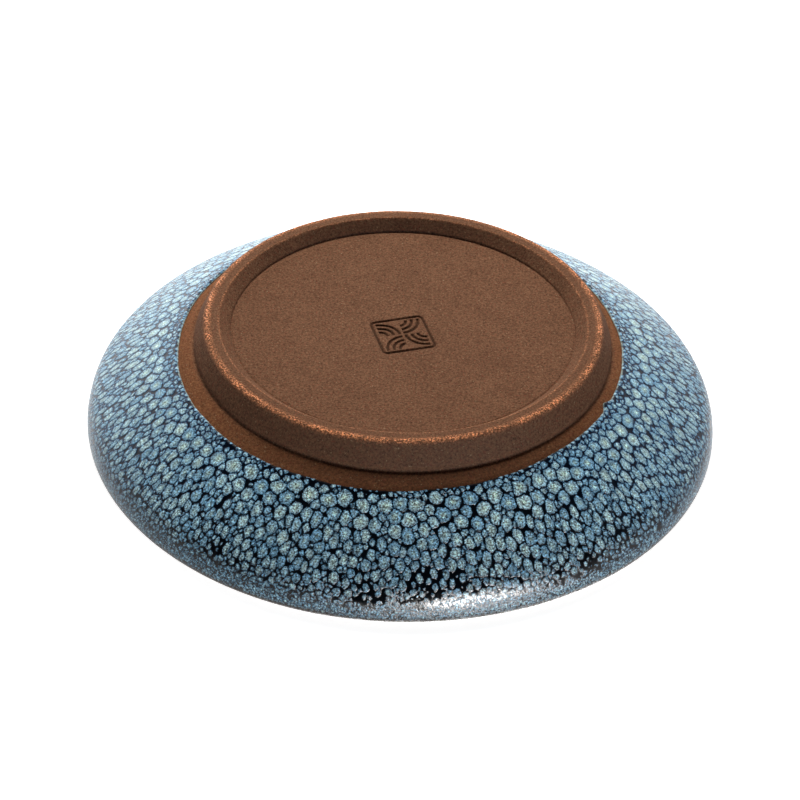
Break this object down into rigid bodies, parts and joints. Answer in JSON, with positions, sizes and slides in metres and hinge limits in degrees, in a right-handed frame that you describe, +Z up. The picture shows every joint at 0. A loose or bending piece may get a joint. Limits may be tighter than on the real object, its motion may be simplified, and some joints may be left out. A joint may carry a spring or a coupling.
{
  "type": "shallow glazed stoneware dish",
  "caption": "Shallow round stoneware dish with an upturned rim, oil-spot glaze inside and out, and a bare turned foot ring.",
  "frame": {"origin": "centre of the flat face of the foot ring, in the plane that the dish stands on", "axes": "+Z up the dish's turning axis, out of the open side; +X and +Y are level, and -Y points at the side towards which the impressed mark is set"},
  "size_m": [0.165, 0.165, 0.0314],
  "materials": {
    "stoneware": "matte",
    "oil_spot_glaze": "gloss",
    "thin_rim_glaze": "gloss"
  },
  "bodies": {
    "root": {"clay_body": "stoneware", "outer_glaze": "oil_spot_glaze", "rim_glaze": "thin_rim_glaze", "inner_glaze": "oil_spot_glaze"}
  },
  "joints": []
}
